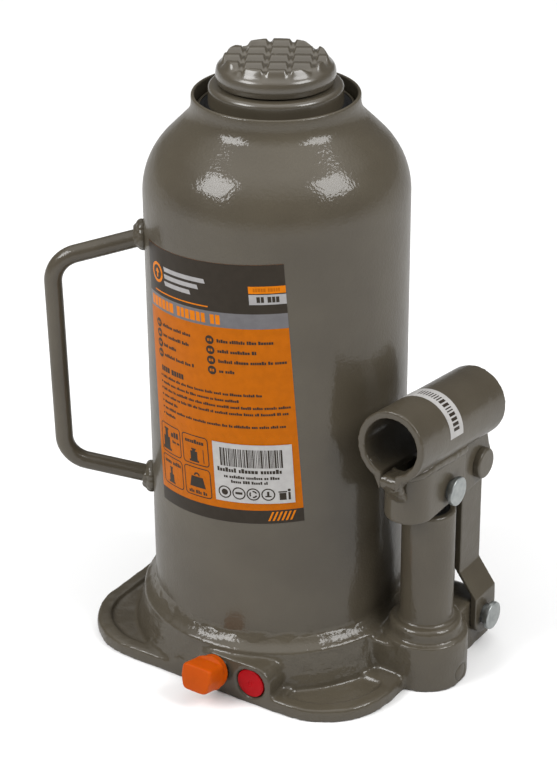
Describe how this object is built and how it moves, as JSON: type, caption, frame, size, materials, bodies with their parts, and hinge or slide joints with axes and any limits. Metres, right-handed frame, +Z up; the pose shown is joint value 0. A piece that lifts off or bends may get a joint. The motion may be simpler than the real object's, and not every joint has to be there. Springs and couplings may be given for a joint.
{
  "type": "bottle jack",
  "caption": "Hydraulic bottle jack with a welded tank, lifting ram, extension screw, hand pump with handle socket, release valve and carry handle.",
  "frame": {"origin": "on the ram's axis, at the underside of the base plate", "axes": "+Z up along the ram's axis; +X from the ram to the pump; -Y is the side with the release valve"},
  "size_m": [0.1484, 0.1217, 0.227],
  "materials": {
    "enamel": "glossy warm grey enamel",
    "bright_steel": "ground steel",
    "zinc": "zinc plated",
    "ball_steel": "polished",
    "seal_rubber": "matt",
    "guide_plastic": "matt",
    "copper": "soft copper",
    "red_plastic": "satin",
    "orange_plastic": "satin",
    "label_film": "printed film",
    "white_paper": "printed paper"
  },
  "bodies": {
    "base": {"base_casting": "enamel", "reservoir_tank": "enamel", "tank_base_weld": "enamel", "hydraulic_cylinder": "bright_steel", "cylinder_base_seal": "seal_rubber", "gland_nut": "bright_steel", "gland_seal": "seal_rubber", "ram_wiper": "seal_rubber", "carry_handle": "enamel", "handle_welds": "enamel", "filler_plug": "seal_rubber", "pump_cylinder": "enamel", "pump_base_washer": "copper", "pump_wiper": "seal_rubber", "channel_plug": "bright_steel", "relief_ball": "ball_steel", "relief_spring": "zinc", "relief_screw": "bright_steel", "safety_plug": "red_plastic", "main_label": "label_film", "code_label": "white_paper"},
    "ram": {"ram": "enamel", "piston_seal": "seal_rubber", "piston_guide_ring": "guide_plastic"},
    "screw_stop": {"screw_stop_ring": "zinc"},
    "extension_screw": {"extension_screw": "enamel"},
    "links": {"outer_link": "enamel", "inner_link": "enamel", "lower_pin": "zinc", "lower_pin_clip": "zinc"},
    "socket": {"handle_socket": "enamel", "socket_yoke": "enamel", "socket_welds": "enamel", "link_rivet": "enamel", "plunger_pin": "zinc", "plunger_pin_clip": "zinc", "socket_sticker": "white_paper"},
    "plunger": {"pump_plunger": "bright_steel", "plunger_seal": "seal_rubber"},
    "release_ball": {"release_ball": "ball_steel"},
    "release_valve": {"release_screw": "bright_steel", "release_o_ring": "seal_rubber", "release_cap": "orange_plastic"},
    "inlet_valve": {"inlet_ball": "ball_steel"},
    "outlet_valve": {"outlet_ball": "ball_steel"}
  },
  "joints": [
    {"name": "ram_lift", "type": "slide", "parent": "base", "child": "ram", "axis": [0, 0, 1], "range_m": [0, 0.14]},
    {"name": "screw_rise", "type": "slide", "parent": "ram", "child": "screw_stop", "axis": [0, 0, 1], "range_m": [0, 0.0601]},
    {"name": "screw_turn", "type": "hinge", "parent": "screw_stop", "child": "extension_screw", "pos_m": [0, 0, 0.2], "axis": [0, 0, 1], "range_deg": [0, 5400]},
    {"name": "link_swing", "type": "hinge", "parent": "base", "child": "links", "pos_m": [0.0642, 0.0276, 0.0132], "axis": [1, 0, 0], "range_deg": [0, 7.3]},
    {"name": "socket_lift", "type": "hinge", "parent": "links", "child": "socket", "pos_m": [0.0642, 0.0276, 0.0768], "axis": [-1, 0, 0], "range_deg": [0, 51.2]},
    {"name": "plunger_stroke", "type": "slide", "parent": "base", "child": "plunger", "axis": [0, 0, 1], "range_m": [0, 0.0187]},
    {"name": "release_back_off", "type": "slide", "parent": "base", "child": "release_ball", "axis": [0, -0.9703, 0.2419], "range_m": [0, 0.0019]},
    {"name": "release_turn", "type": "hinge", "parent": "release_ball", "child": "release_valve", "pos_m": [0.0075, -0.0535, 0.0096], "axis": [0, -0.9703, 0.2419], "range_deg": [0, 540]},
    {"name": "inlet_ball_lift", "type": "slide", "parent": "base", "child": "inlet_valve", "axis": [0, 0, 1], "range_m": [0, 0.001]},
    {"name": "outlet_ball_lift", "type": "slide", "parent": "base", "child": "outlet_valve", "axis": [0, 0, 1], "range_m": [0, 0.001]}
  ],
  "couplings": [
    {"joint": "screw_rise", "follows": "screw_turn", "m_per_rad": 0.00063662},
    {"joint": "link_swing", "follows": "socket_lift", "ratio": 0.142},
    {"joint": "plunger_stroke", "follows": "socket_lift", "m_per_rad": 0.0208},
    {"joint": "release_back_off", "follows": "release_turn", "m_per_rad": 0.00019894}
  ]
}
